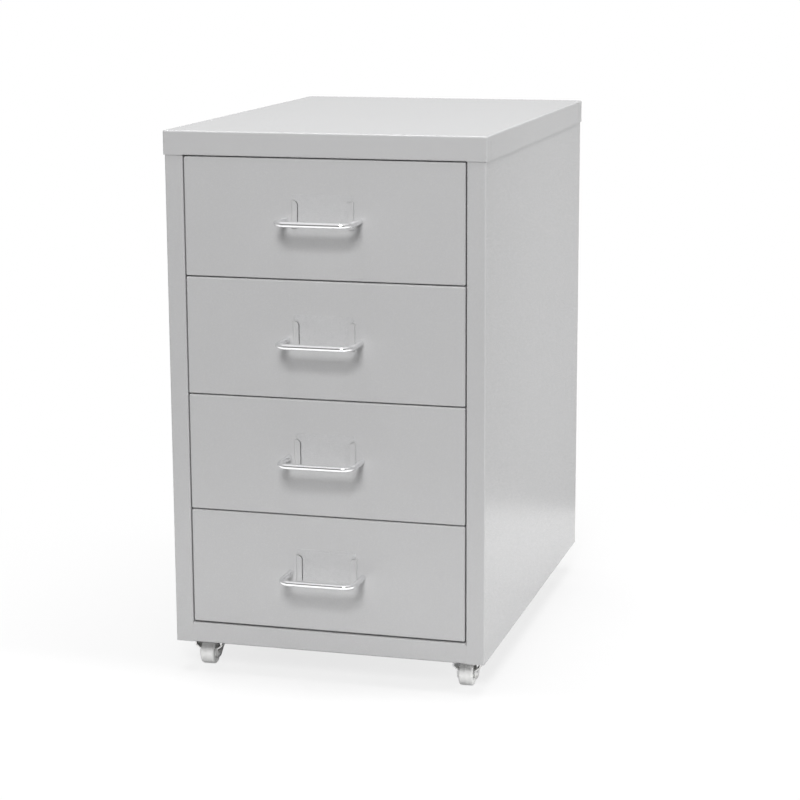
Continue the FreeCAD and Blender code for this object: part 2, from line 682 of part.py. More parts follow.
def castor_wheel(x, y):
    """Moulded wheel with rounded edges, a recess in each side and a hub."""
    half = WHEEL_WIDTH / 2
    hub = half + WHEEL_HUB_PROUD
    floor = half - WHEEL_RECESS_DEPTH
    bore = AXLE_RADIUS + AXLE_CLEARANCE
    profile = [(bore, -hub), (WHEEL_HUB_RADIUS, -hub), (WHEEL_HUB_RADIUS, -floor),
               (WHEEL_RECESS_OUTER, -floor), (WHEEL_RECESS_OUTER, -half), (WHEEL_RADIUS, -half)]
    profile = profile + [(r, -along) for r, along in reversed(profile)]
    radii = [0, 0, 0, 0, 0, WHEEL_EDGE, WHEEL_EDGE, 0, 0, 0, 0, 0]
    centre = Vector(x, y - CASTOR_TRAIL, WHEEL_RADIUS)
    places = [centre + Vector(along, 0, r) for r, along in profile]
    face = Part.Face(Part.Wire(Part.__sortEdges__(outline_edges(places, radii))))
    return face.revolve(centre, Vector(1, 0, 0), 360)


# Writing the pieces

os.makedirs("parts", exist_ok=True)
left_side = side_panel()
write("top_cover", top_cover())
for side, shape in zip(("left", "right"), both_sides(left_side)):
    write("side_panel_" + side, shape)
write("bottom_panel", bottom_panel())
write("back_panel", back_panel())
write("back_panel_screws", back_panel_screws())
write("cover_screws", cover_screws())
write("castor_rivets", castor_rivets())
for number in range(1, DRAWERS + 1):
    for side, shape in zip(("left", "right"), both_sides(runner(number))):
        write("runner_%s_%d" % (side, number), shape)
    write("drawer_front_%d" % number, drawer_front(number))
    write("drawer_tray_%d" % number, drawer_tray(number))
    write("handle_%d" % number, handle(number))
    write("handle_nuts_%d" % number, handle_nuts(number))
    write("label_sleeve_%d" % number, label_sleeve(number))
for corner, (x, y) in zip(("front_left", "front_right", "rear_left", "rear_right"), castor_places()):
    write("castor_plate_" + corner, castor_plate(x, y))
    write("castor_kingpin_" + corner, castor_kingpin(x, y))
    write("castor_fork_" + corner, castor_fork(x, y))
    write("castor_axle_" + corner, castor_axle(x, y))
    write("castor_wheel_" + corner, castor_wheel(x, y))
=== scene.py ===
import math

import bmesh
import bpy
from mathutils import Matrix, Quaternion, Vector


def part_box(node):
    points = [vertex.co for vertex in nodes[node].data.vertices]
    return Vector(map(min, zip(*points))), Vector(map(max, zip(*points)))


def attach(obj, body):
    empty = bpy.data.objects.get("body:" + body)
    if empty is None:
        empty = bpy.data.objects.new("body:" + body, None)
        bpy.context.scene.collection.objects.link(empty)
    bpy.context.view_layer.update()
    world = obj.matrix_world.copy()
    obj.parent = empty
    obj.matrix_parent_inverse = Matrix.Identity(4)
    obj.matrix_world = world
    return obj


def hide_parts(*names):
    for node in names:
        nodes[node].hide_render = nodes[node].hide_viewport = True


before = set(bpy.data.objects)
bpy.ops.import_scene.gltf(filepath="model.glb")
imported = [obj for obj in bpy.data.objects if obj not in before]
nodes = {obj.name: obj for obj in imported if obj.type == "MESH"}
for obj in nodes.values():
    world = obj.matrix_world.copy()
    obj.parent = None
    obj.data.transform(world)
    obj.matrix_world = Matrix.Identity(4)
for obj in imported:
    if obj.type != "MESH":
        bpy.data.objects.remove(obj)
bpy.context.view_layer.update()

scene = bpy.context.scene


# The photographer's camera stands in front of the cabinet, a little to its right and above it.
# It has a long lens, so the cabinet's front and back edges stay nearly the same height.

aim_point = Vector((0.0099, 0.0163, 0.2104))
camera_turn = math.radians(15.36)
camera_climb = math.radians(11.84)
camera_roll = math.radians(-0.24)
camera_distance = 2.073
lens_length, film_width = 99.86, 36.0
nearest_seen, farthest_seen = 0.02, 60.0

towards_camera = Vector((math.sin(camera_turn) * math.cos(camera_climb),
                         -math.cos(camera_turn) * math.cos(camera_climb),
                         math.sin(camera_climb)))
lens = bpy.data.cameras.new("photograph_lens")
lens.sensor_width = film_width
lens.lens = lens_length
lens.clip_start = nearest_seen
lens.clip_end = farthest_seen
photograph_view = bpy.data.objects.new("photograph_view", lens)
photograph_view.rotation_mode = "QUATERNION"
photograph_view.location = aim_point + towards_camera * camera_distance
photograph_view.rotation_quaternion = ((-towards_camera).to_track_quat("-Z", "Y")
                                       @ Quaternion((0, 0, 1), camera_roll))
scene.collection.objects.link(photograph_view)
scene.camera = photograph_view
scene.view_settings.view_transform = "Standard"


# A photographer's studio: soft lamps above, at the right, in front and behind, a grey floor that
# the camera sees white, a white sheet on it that the satin coat mirrors, with its edge, and a
# dark card in front, which only mirrors see and which draws the dark line along the handles.

floor_half = 9.0
floor_grey, floor_in_mirrors, floor_roughness, floor_gloss = 0.35, 0.54, 0.9, 0.1
sheet_front, sheet_back, sheet_side, sheet_fade = -0.72, 0.42, 0.90, 0.08
sheet_white, sheet_white_ends = 0.92, -0.25
sheet_duller, sheet_duller_begins = 0.66, -0.15
# The floor near the cabinet is painted whiter for the light that bounces off it, though the camera
# never sees this: a painted pool of light that brightens the cabinet's lower front, rail and wheels.
near_floor, near_floor_fade, near_floor_painted_light_share = 0.36, 0.62, 0.45
background_near, background_far, background_least = 0.28, 0.60, 0.78
sky_strength, sky_in_mirrors, sky_behind, sky_at_the_sides = 0.08, 0.86, 0.45, 0.55
sky_behind_begins, sky_behind_ends, sky_sides_begin, sky_sides_end = 0.1, 0.6, 0.45, 0.8
lamp_aim = Vector((0.0, 0.0, 0.06))
lamps = {"lamp_overhead": (Vector((0.10, 0.05, 2.40)), 1.7, 64.5, False),
         "lamp_above_the_camera": (Vector((0.30, -2.10, 1.50)), 0.62, 37.0, True),
         "lamp_at_the_right": (Vector((1.10, 0.15, 0.42)), 0.50, 6.5, False),
         "lamp_low_in_front": (Vector((0.00, -1.60, 0.10)), 0.50, 0.3, False),
         "lamp_behind_the_left": (Vector((-1.10, 1.50, 0.43)), 0.80, 20.0, False)}
card_half_width, card_low, card_height, card_distance = 1.3, 0.002, 0.95, 1.5
felt_grey = 0.19


def feed(tree, target, inputs):
    """Each input of a node takes a value or another node's output."""
    for name, value in inputs.items():
        if isinstance(value, bpy.types.NodeSocket):
            tree.links.new(value, target.inputs[name])
        else:
            target.inputs[name].default_value = value


def node(tree, kind, inputs=None, **settings):
    """A new node with its settings and inputs."""
    made = tree.nodes.new(kind)
    for name, value in settings.items():
        setattr(made, name, value)
    feed(tree, made, inputs or {})
    return made


def ramp(tree, value, start, end, low=0.0, high=1.0):
    """A value taken smoothly from one level to another between a start and an end."""
    return node(tree, "ShaderNodeMapRange", {"Value": value, "From Min": start, "From Max": end,
                                             "To Min": low, "To Max": high},
                interpolation_type="SMOOTHSTEP").outputs["Result"]


def worked_out(tree, operation, one, two=0.0):
    """A number worked out of one or two others."""
    return node(tree, "ShaderNodeMath", {0: one, 1: two}, operation=operation).outputs[0]


def times(tree, one, two):
    """The product of two numbers."""
    return worked_out(tree, "MULTIPLY", one, two)


def between(tree, share, one, two):
    """A colour between two others."""
    return node(tree, "ShaderNodeMix", {0: share, 6: one, 7: two}, data_type="RGBA").outputs[2]


def open_finish(name):
    """A new material with its tree and its shader."""
    finish = bpy.data.materials.new(name)
    finish.use_nodes = True
    return finish, finish.node_tree, finish.node_tree.nodes["Principled BSDF"]


def place_on(tree):
    """The place on the object that a material's tree works at."""
    return node(tree, "ShaderNodeTexCoord").outputs["Object"]


def grey(level):
    """A neutral colour."""
    return (level, level, level, 1)


def put_in_scene(name, mesh):
    """A mesh as an object at the origin, with its place in its vertices."""
    made = bpy.data.objects.new(name, mesh)
    scene.collection.objects.link(made)
    return made


floor_mesh = bpy.data.meshes.new("studio_floor")
floor_mesh.from_pydata([(-floor_half, -floor_half, 0), (floor_half, -floor_half, 0),
                        (floor_half, floor_half, 0), (-floor_half, floor_half, 0)],
                       [], [(0, 1, 2, 3)])
studio_floor = put_in_scene("studio_floor", floor_mesh)
floor_paint, tree, matt = open_finish("white_studio_floor")
place = place_on(tree)
x, y, z = node(tree, "ShaderNodeSeparateXYZ", {0: place}).outputs
sideways = worked_out(tree, "ABSOLUTE", x)
on_sheet = times(tree, ramp(tree, sideways, sheet_side, sheet_side + sheet_fade, 1.0, 0.0),
                 times(tree, ramp(tree, y, sheet_front - sheet_fade, sheet_front),
                       ramp(tree, y, sheet_back, sheet_back + sheet_fade, 1.0, 0.0)))
rays = node(tree, "ShaderNodeLightPath").outputs
reach = node(tree, "ShaderNodeVectorMath", {0: place}, operation="LENGTH").outputs["Value"]
whiter = worked_out(tree, "MAXIMUM", times(tree, on_sheet, rays["Is Glossy Ray"]),
                    rays["Is Camera Ray"])
# Painted light: near the cabinet, bounced light sees the floor whiter, as a painted pool of light in
# front of and under the cabinet.
whiter = worked_out(tree, "MAXIMUM", whiter,
                    ramp(tree, reach, near_floor, near_floor_fade, near_floor_painted_light_share, 0.0))
paper = ramp(tree, y, sheet_white_ends, sheet_duller_begins, sheet_white, sheet_duller)
feed(tree, matt, {"Base Color": between(tree, whiter, grey(floor_grey), paper),
                  "Roughness": floor_roughness, "Specular IOR Level": floor_gloss})
away = ramp(tree, reach, background_near, background_far, background_least, 1.0)
level = ramp(tree, rays["Is Camera Ray"], 0.0, 1.0, floor_in_mirrors, 1.0)
white = node(tree, "ShaderNodeEmission", {"Color": grey(1), "Strength": level}).outputs[0]
beyond = times(tree, ramp(tree, on_sheet, 0.0, 1.0, 1.0, 0.0), rays["Is Glossy Ray"])
share = worked_out(tree, "MAXIMUM", times(tree, away, rays["Is Camera Ray"]), beyond)
from_above = node(tree, "ShaderNodeMixShader", {0: share, 1: matt.outputs[0], 2: white}).outputs[0]
from_below = node(tree, "ShaderNodeBsdfTransparent").outputs[0]
backfacing = node(tree, "ShaderNodeNewGeometry").outputs["Backfacing"]
feed(tree, tree.nodes["Material Output"],
     {"Surface": node(tree, "ShaderNodeMixShader",
                      {0: backfacing, 1: from_above, 2: from_below}).outputs[0]})
floor_mesh.materials.append(floor_paint)

scene.world = bpy.data.worlds.new("studio_air")
scene.world.use_nodes = True
tree = scene.world.node_tree
aside, ahead, upward = node(tree, "ShaderNodeSeparateXYZ",
                            {0: node(tree, "ShaderNodeTexCoord").outputs["Generated"]}).outputs
aside = worked_out(tree, "ABSOLUTE", aside)
in_mirrors = times(tree, ramp(tree, ahead, sky_behind_begins, sky_behind_ends,
                              sky_in_mirrors, sky_behind),
                   ramp(tree, aside, sky_sides_begin, sky_sides_end, 1.0, sky_at_the_sides))
rays = node(tree, "ShaderNodeLightPath").outputs
strength = ramp(tree, rays["Is Glossy Ray"], 0.0, 1.0, sky_strength, in_mirrors)
strength = ramp(tree, rays["Is Camera Ray"], 0.0, 1.0, strength, 1.0)
feed(tree, tree.nodes["Background"], {"Color": grey(1), "Strength": strength})

card_mesh = bpy.data.meshes.new("dark_card")
card_mesh.from_pydata([(x, -card_distance, z) for x, z in
                       ((-card_half_width, card_low), (card_half_width, card_low),
                        (card_half_width, card_height), (-card_half_width, card_height))],
                      [], [(3, 2, 1, 0)])
dark_card = put_in_scene("dark_card", card_mesh)
grey_felt, tree, shader = open_finish("grey_felt")
feed(tree, shader, {"Base Color": grey(felt_grey), "Roughness": 1.0})
card_mesh.materials.append(grey_felt)
dark_card.visible_camera = False
dark_card.visible_diffuse = False
dark_card.visible_transmission = False
dark_card.visible_shadow = False

for name, (spot, size, watts, mirrored) in lamps.items():
    lamp = bpy.data.lights.new(name, "AREA")
    lamp.size = size
    lamp.energy = watts
    lamp_object = bpy.data.objects.new(name, lamp)
    lamp_object.location = spot
    lamp_object.visible_glossy = mirrored
    lamp_object.visible_camera = False
    lamp_object.rotation_mode = "QUATERNION"
    lamp_object.rotation_quaternion = (lamp_aim - spot).to_track_quat("-Z", "Y")
    scene.collection.objects.link(lamp_object)


# The top cover is one sheet of steel folded down on all four sides and set over the body.
# Like every sheet piece it is powder coated light grey: a baked coat with a fine orange peel.

coat_grey, coat_grey_light = (0.492, 0.492, 0.496, 1), (0.508, 0.508, 0.512, 1)
coat_smoothest, coat_roughest, coat_ior = 0.20, 0.30, 1.55
clouds, dents, peel, grain = 11.0, 5.0, 520.0, 2300.0
dent_depth, peel_depth, grain_depth = 0.0006, 0.00005, 0.00001


def noise(tree, place, scale, detail):
    """A noise at a place, for a number of its grains in a metre."""
    return node(tree, "ShaderNodeTexNoise",
                {"Vector": place, "Scale": scale, "Detail": detail}).outputs["Fac"]


def spread(tree, noisy, low, high, start=0.3, end=0.7):
    """The usual range of a noise spread evenly between a low and a high value."""
    return node(tree, "ShaderNodeMapRange", {"Value": noisy, "From Min": start, "From Max": end,
                                             "To Min": low, "To Max": high}).outputs["Result"]


def bumps(tree, height, strength, depth, under=None):
    """Bumps on a surface, over coarser ones if they are given."""
    inputs = {"Strength": strength, "Distance": depth, "Height": height}
    if under is not None:
        inputs["Normal"] = under
    return node(tree, "ShaderNodeBump", inputs).outputs[0]


def powder_coat():
    """Light grey powder coat: satin, with orange peel, and steel sheet not quite flat under it."""
    finish, tree, shader = open_finish("light_grey_powder_coat")
    place = place_on(tree)
    fine_grain = noise(tree, place, grain, 1.0)
    skin = bumps(tree, noise(tree, place, dents, 1.0), 0.5, dent_depth)
    skin = bumps(tree, noise(tree, place, peel, 1.5), 0.5, peel_depth, skin)
    skin = bumps(tree, fine_grain, 0.3, grain_depth, skin)
    tone = between(tree, noise(tree, place, clouds, 3.0), coat_grey, coat_grey_light)
    feed(tree, shader, {"Base Color": tone, "Normal": skin, "IOR": coat_ior,
                        "Roughness": spread(tree, fine_grain, coat_smoothest, coat_roughest)})
    return finish


def dress(name, finish):
    """The solid of a piece takes its finish."""
    for slot in nodes[name].material_slots:
        slot.material = finish


grey_coat = powder_coat()
dress("top_cover", grey_coat)


# Each side panel is one sheet, folded round into the front post and its lip and into the
# rear flange. The floor with the front rail, and the back panel, close the body. The rail's
# ends are welded to the posts, and the coat runs over the ground welds.

post_width, post_bend, rail_height = 0.0160, 0.0014, 0.0166
weld_sink, weld_depth, weld_lap, weld_lift = 0.00012, 0.00078, 0.00032, 0.0002
weld_bend_share, weld_steps, coat_thickness = 0.80, 8, 0.00001


def band(shell, front, back):
    """Faces that join a closed outline to the like one behind it."""
    for i in range(len(front)):
        j = (i + 1) % len(front)
        shell.faces.new((front[j], front[i], back[i], back[j]))


def meshed(name, shell):
    """A closed shell as a plain mesh, its faces outward."""
    bmesh.ops.recalc_face_normals(shell, faces=shell.faces)
    mesh = bpy.data.meshes.new(name)
    shell.to_mesh(mesh)
    shell.free()
    return mesh


for name in ("side_panel_left", "side_panel_right", "bottom_panel", "back_panel"):
    dress(name, grey_coat)
post_low, post_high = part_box("side_panel_left")
post_curve = post_bend + coat_thickness
welds = bmesh.new()
for side in (-1, 1):
    edge = side * (-post_low.x - post_width)
    outline = [(edge - side * weld_lap, post_low.y + weld_sink),
               (edge - side * weld_lap, post_low.y + weld_depth)]
    for i in range(weld_steps + 1):
        turn = math.pi / 2 * i / weld_steps * weld_bend_share
        outline.append((edge + side * (post_bend - post_curve * math.cos(turn)),
                        post_low.y + post_bend - post_curve * math.sin(turn)))
    lower, upper = ([welds.verts.new((x, y, z)) for x, y in outline]
                    for z in (post_low.z + weld_lift, post_low.z + rail_height))
    band(welds, lower, upper)
    welds.faces.new(lower)
    welds.faces.new(upper)
weld_mesh = meshed("rail_end_welds", welds)
weld_mesh.materials.append(grey_coat)
rail_end_welds = put_in_scene("rail_end_welds", weld_mesh)
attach(rail_end_welds, "cabinet")


# Zinc plated self-tapping screws with a domed head and a cross recess hold the back panel
# and the cover. Each is turned home to another angle. Their sizes are in millimetres.

millimetre = 0.001
screw_head_radius, screw_head_height = 3.4, 1.8
screw_shank_radius, screw_length, screw_pitch, thread_depth = 1.25, 7.0, 1.2, 0.3
recess_length, recess_width, recess_depth = 3.7, 0.8, 0.9
half_space = 10.0
zinc_blue, zinc_yellow = (0.76, 0.78, 0.81, 1), (0.84, 0.82, 0.78, 1)
zinc_smoothest, zinc_roughest, zinc_metallic = 0.32, 0.50, 0.9
zinc_tints, zinc_scratches, scratch_stretch, scratch_depth = 180.0, 3800.0, 0.12, 0.00002
crease = math.radians(32)


def zinc_plate():
    """Bright zinc plate on steel, faintly blue and yellow, with fine scratches."""
    finish, tree, shader = open_finish("bright_zinc_plate")
    place = place_on(tree)
    tone = between(tree, noise(tree, place, zinc_tints, 2.0), zinc_blue, zinc_yellow)
    drawn = node(tree, "ShaderNodeMapping", {"Vector": place, "Scale": (1.0, scratch_stretch, 1.0)})
    scratches = noise(tree, drawn.outputs[0], zinc_scratches, 2.0)
    feed(tree, shader, {"Base Color": tone, "Metallic": zinc_metallic,
                        "Roughness": spread(tree, scratches, zinc_smoothest, zinc_roughest),
                        "Normal": bumps(tree, scratches, 0.35, scratch_depth)})
    return finish


def open_tree(name, **sizes):
    """A new geometry tree with an input for the places and one for each size."""
    tree = bpy.data.node_groups.new(name, "GeometryNodeTree")
    tree.interface.new_socket("Places", in_out="INPUT", socket_type="NodeSocketGeometry")
    for size, value in sizes.items():
        socket = tree.interface.new_socket(size, in_out="INPUT", socket_type="NodeSocketFloat")
        socket.default_value = value
    tree.interface.new_socket("Pieces", in_out="OUTPUT", socket_type="NodeSocketGeometry")
    return tree, node(tree, "NodeGroupInput").outputs


def three(tree, x=0.0, y=0.0, z=0.0):
    """Three numbers of a tree as a vector."""
    return node(tree, "ShaderNodeCombineXYZ", {0: x, 1: y, 2: z}).outputs[0]


def shaped(tree, piece, **change):
    """A piece of a tree moved by its Translation or stretched by its Scale."""
    return node(tree, "GeometryNodeTransform", {"Geometry": piece, **change}).outputs[0]


def ball(tree, segments, rings):
    """A ball of radius 1, to be stretched."""
    return node(tree, "GeometryNodeMeshUVSphere",
                {"Segments": segments, "Rings": rings, "Radius": 1.0}).outputs[0]


def cylinder(tree, corners, radius, length):
    """An upright cylinder or prism about the origin."""
    return node(tree, "GeometryNodeMeshCylinder",
                {"Vertices": corners, "Radius": radius, "Depth": length}).outputs[0]


def common(tree, one, two):
    """The volume that two bodies share."""
    shared = node(tree, "GeometryNodeMeshBoolean", operation="INTERSECT")
    tree.links.new(one, shared.inputs[1])
    tree.links.new(two, shared.inputs[1])
    return shared.outputs[0]


def joined(tree, *pieces):
    """Several pieces of a tree as one."""
    whole = node(tree, "GeometryNodeJoinGeometry")
    for piece in pieces:
        tree.links.new(piece, whole.inputs[0])
    return whole.outputs[0]


def close_tree(tree, places, piece, turn, spin, finish):
    """One piece at each place, turned to its face, each spun by chance, as one plain mesh."""
    set_out = node(tree, "GeometryNodeInstanceOnPoints",
                   {"Points": places, "Instance": piece, "Rotation": turn,
                    "Scale": (millimetre,) * 3})
    chance = node(tree, "FunctionNodeRandomValue", {2: 0.0, 3: spin, "Seed": 7}).outputs[1]
    spun = node(tree, "GeometryNodeRotateInstances",
                {"Instances": set_out.outputs[0], "Rotation": three(tree, z=chance)})
    plain = node(tree, "GeometryNodeRealizeInstances", {"Geometry": spun.outputs[0]})
    angle = node(tree, "GeometryNodeInputMeshEdgeAngle").outputs["Unsigned Angle"]
    soft = node(tree, "FunctionNodeCompare", {0: angle, 1: crease}, operation="LESS_THAN").outputs[0]
    faces = node(tree, "GeometryNodeSetShadeSmooth", {"Geometry": plain.outputs[0]}, domain="FACE")
    edges = node(tree, "GeometryNodeSetShadeSmooth",
                 {"Geometry": faces.outputs[0], "Shade Smooth": soft}, domain="EDGE")
    coated = node(tree, "GeometryNodeSetMaterial",
                  {"Geometry": edges.outputs[0], "Material": finish})
    tree.links.new(coated.outputs[0], node(tree, "NodeGroupOutput").inputs[0])


def grown(name, tree, places):
    """What a tree sets out on some places, as a piece with a plain mesh."""
    points = bpy.data.meshes.new(name)
    points.from_pydata([tuple(p) for p in places], [], [])
    piece = put_in_scene(name, points)
    piece.modifiers.new("set_out", "NODES").node_group = tree
    depsgraph = bpy.context.evaluated_depsgraph_get()
    plain = bpy.data.meshes.new_from_object(piece.evaluated_get(depsgraph), depsgraph=depsgraph)
    piece.modifiers.clear()
    piece.data = plain
    return piece


def thread(tree, radius, length, pitch):
    """A ridge that winds round a shank, from its top at zero down to its end."""
    path = node(tree, "GeometryNodeCurveSpiral",
                {"Resolution": 20, "Rotations": worked_out(tree, "DIVIDE", length, pitch),
                 "Start Radius": radius, "End Radius": radius, "Height": length})
    ridge = node(tree, "GeometryNodeCurvePrimitiveCircle",
                 {"Resolution": 4, "Radius": thread_depth})
    wound = node(tree, "GeometryNodeCurveToMesh",
                 {"Curve": path.outputs[0], "Profile Curve": ridge.outputs[0], "Fill Caps": True})
    return shaped(tree, wound.outputs[0], Translation=three(tree, z=times(tree, length, -1.0)))


def islands(name):
    """Lowest and highest corners of the separate solids of a group of like pieces."""
    copy = bmesh.new()
    copy.from_mesh(nodes[name].data)
    bmesh.ops.remove_doubles(copy, verts=copy.verts, dist=1e-6)
    left = set(copy.verts)
    found = []
    while left:
        stack = [left.pop()]
        low = high = stack[0].co.copy()
        while stack:
            vertex = stack.pop()
            low = Vector(map(min, low, vertex.co))
            high = Vector(map(max, high, vertex.co))
            for edge in vertex.link_edges:
                other = edge.other_vert(vertex)
                if other in left:
                    left.remove(other)
                    stack.append(other)
        found.append((low, high))
    copy.free()
    return sorted(found, key=lambda ends: tuple(round(c, 5) for c in ends[0]))


zinc = zinc_plate()
tree, given = open_tree("cross_recess_screw", Head_radius=screw_head_radius,
                        Head_height=screw_head_height, Shank_radius=screw_shank_radius,
                        Shank_length=screw_length, Pitch=screw_pitch)
dome = shaped(tree, ball(tree, 32, 16),
              Scale=three(tree, given["Head_radius"], given["Head_radius"], given["Head_height"]))
above = node(tree, "GeometryNodeMeshCube", {"Size": (2 * half_space, 2 * half_space, half_space)})
above = shaped(tree, above.outputs[0], Translation=(0.0, 0.0, half_space / 2))
head = node(tree, "GeometryNodeMeshBoolean", {0: common(tree, dome, above)},
            operation="DIFFERENCE")
for size in ((recess_length, recess_width), (recess_width, recess_length)):
    groove = node(tree, "GeometryNodeMeshCube", {"Size": (*size, 2 * recess_depth)})
    groove = shaped(tree, groove.outputs[0], Translation=three(tree, z=given["Head_height"]))
    tree.links.new(groove, head.inputs[1])
shank = shaped(tree, cylinder(tree, 20, given["Shank_radius"], given["Shank_length"]),
               Translation=three(tree, z=times(tree, given["Shank_length"], -0.5)))
ridge = thread(tree, given["Shank_radius"], given["Shank_length"], given["Pitch"])
close_tree(tree, given["Places"], joined(tree, head.outputs[0], shank, ridge),
           (-math.pi / 2, 0.0, 0.0), math.pi, zinc)

for name in ("back_panel_screws", "cover_screws"):
    seats = [Vector(((low.x + high.x) / 2, high.y - screw_head_height * millimetre,
                     (low.z + high.z) / 2)) for low, high in islands(name)]
    screws = grown(name + "_threaded", tree, seats)
    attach(screws, "cabinet")
    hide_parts(name)


# Channel rails are spot welded to the insides of the side panels, and the drawers slide in
# them on their rims. Each weld leaves a small crater under the powder coat.

weld_radius, weld_rim = 2.3, 0.16
button_share, button_rise = 0.75, 0.5
welds_along_runner, runner_sheet = 5, 0.001

tree, given = open_tree("spot_weld", Radius=weld_radius, Rim=weld_rim)
ring_path = node(tree, "GeometryNodeCurvePrimitiveCircle",
                 {"Resolution": 24, "Radius": given["Radius"]})
ring_section = node(tree, "GeometryNodeCurvePrimitiveCircle",
                    {"Resolution": 8, "Radius": given["Rim"]})
ring = node(tree, "GeometryNodeCurveToMesh",
            {"Curve": ring_path.outputs[0], "Profile Curve": ring_section.outputs[0]})
button_width = times(tree, given["Radius"], button_share)
button = shaped(tree, ball(tree, 24, 8),
                Scale=three(tree, button_width, button_width, times(tree, given["Rim"], button_rise)))
close_tree(tree, given["Places"], joined(tree, ring.outputs[0], button),
           (0.0, math.pi / 2, 0.0), math.pi, grey_coat)

weld_places = []
for n in range(1, 5):
    for side in ("left", "right"):
        name = "runner_%s_%d" % (side, n)
        dress(name, grey_coat)
        low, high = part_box(name)
        web = low.x + runner_sheet if side == "left" else high.x - runner_sheet
        for i in range(welds_along_runner):
            along = low.y + (high.y - low.y) * (i + 0.5) / welds_along_runner
            weld_places.append((web, along, (low.z + high.z) / 2))
runner_welds = grown("runner_welds", tree, weld_places)
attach(runner_welds, "cabinet")


# Each drawer is a folded tray with outward rims, and a pan-shaped front welded to it.
# Two narrow tabs are lanced out of the front, to hold a paper label over the handle.

for n in range(1, 5):
    dress("drawer_front_%d" % n, grey_coat)
    dress("drawer_tray_%d" % n, grey_coat)


# A clear plastic sleeve for a paper label stands behind the two tabs of each front: one thin
# sheet folded at the bottom, its front leaf a little shorter than the back. The label's slot is
# made without its inner faces, so that light crosses only two faces of the clear plastic.

sleeve_leaf, sleeve_step = 0.00016, 0.0022
sleeve_corner, sleeve_corner_steps = 0.0018, 6
plastic_tint, plastic_scuffs = (0.92, 0.93, 0.95, 1), 300.0
clearest, milkiest, edge_milkiness = 0.020, 0.056, 0.35
plastic_smoothest, plastic_roughest = 0.10, 0.22


def clear_plastic():
    """Thin clear plastic sheet, a little milky and scuffed."""
    finish, tree, shader = open_finish("clear_plastic_sheet")
    scuffs = noise(tree, place_on(tree), plastic_scuffs, 4.0)
    cut_edge = node(tree, "ShaderNodeAttribute", attribute_name="cut_edge").outputs["Fac"]
    flat = spread(tree, scuffs, clearest, milkiest, 0.35, 0.75)
    feed(tree, shader, {"Base Color": plastic_tint,
                        "Alpha": spread(tree, cut_edge, flat, edge_milkiness, 0.0, 1.0),
                        "Roughness": spread(tree, scuffs, plastic_smoothest, plastic_roughest)})
    return finish


def leaf_outline(half, low, high):
    """Closed outline of one leaf seen from the front, its two upper corners rounded."""
    points = [(-half, low), (half, low)]
    for cx, start in ((half - sleeve_corner, 0.0), (-half + sleeve_corner, math.pi / 2)):
        for i in range(sleeve_corner_steps + 1):
            turn = start + math.pi / 2 * i / sleeve_corner_steps
            points.append((cx + sleeve_corner * math.cos(turn),
                           high - sleeve_corner + sleeve_corner * math.sin(turn)))
    return points


clear = clear_plastic()
for n in range(1, 5):
    low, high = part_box("label_sleeve_%d" % n)
    half, middle_x = (high.x - low.x) / 2, (high.x + low.x) / 2
    short = leaf_outline(half, low.z, high.z - sleeve_step)
    tall = leaf_outline(half, low.z, high.z)
    skin = bmesh.new()
    leaf_front, slot_front, slot_back = (
        [skin.verts.new((middle_x + x, y, z)) for x, z in short]
        for y in (low.y, low.y + sleeve_leaf, high.y - sleeve_leaf))
    upper = [skin.verts.new((middle_x + x, high.y - sleeve_leaf, z)) for x, z in tall[2:]]
    back_leaf = slot_back[:3] + upper + slot_back[-1:]
    back = [skin.verts.new((v.co.x, high.y, v.co.z)) for v in back_leaf]
    band(skin, leaf_front, slot_front)
    band(skin, slot_front, slot_back)
    band(skin, back_leaf, back)
    for i in range(len(upper) - 1):
        skin.faces.new((slot_back[i + 2], slot_back[i + 3], upper[i + 1], upper[i]))
    skin.faces.new(leaf_front)
    skin.faces.new(back[::-1])
    mesh = meshed("label_pocket_%d" % n, skin)
    cut_edge = mesh.attributes.new("cut_edge", "FLOAT", "FACE")
    for face in mesh.polygons:
        in_slot = low.y + sleeve_leaf < face.center.y < high.y - sleeve_leaf
        edge = abs(face.normal.y) < 0.5 and (face.normal.z < -0.5 or not in_slot)
        cut_edge.data[face.index].value = float(edge)
    mesh.materials.append(clear)
    pocket = put_in_scene("label_pocket_%d" % n, mesh)
    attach(pocket, "drawer_%d" % n)
    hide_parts("label_sleeve_%d" % n)


# The handle is a steel wire bent to a bail and chromed. Its ends are turned down to threaded
# studs that pass through the front, so that the wire's shoulders seat on it.

handle_bend, wire_radius, shoulder_chamfer = 0.009, 0.0025, 0.0004
stud_length, stud_tip = 0.0055, 0.0003
stud_radius, stud_core, stud_pitch = 0.00198, 0.00168, 0.0007
ring_points, bend_steps = 28, 14
chrome_colour, chrome_metallic = (0.87, 0.87, 0.88, 1), 0.92
chrome_smoothest, chrome_roughest, streak_depth = 0.08, 0.16, 0.00003
streaks_round, streaks_along = 26.0, 60.0


def chrome():
    """Bright chrome on drawn wire: a mirror with faint streaks along the wire."""
    finish, tree, shader = open_finish("bright_chrome")
    along_wire = node(tree, "ShaderNodeUVMap", uv_map="along_wire").outputs[0]
    drawn = node(tree, "ShaderNodeMapping",
                 {"Vector": along_wire, "Scale": (streaks_round, streaks_along, 1.0)})
    streaks = noise(tree, drawn.outputs[0], 1.0, 3.0)
    feed(tree, shader, {"Base Color": chrome_colour, "Metallic": chrome_metallic,
                        "Roughness": spread(tree, streaks, chrome_smoothest, chrome_roughest),
                        "Normal": bumps(tree, streaks, 0.15, streak_depth)})
    return finish


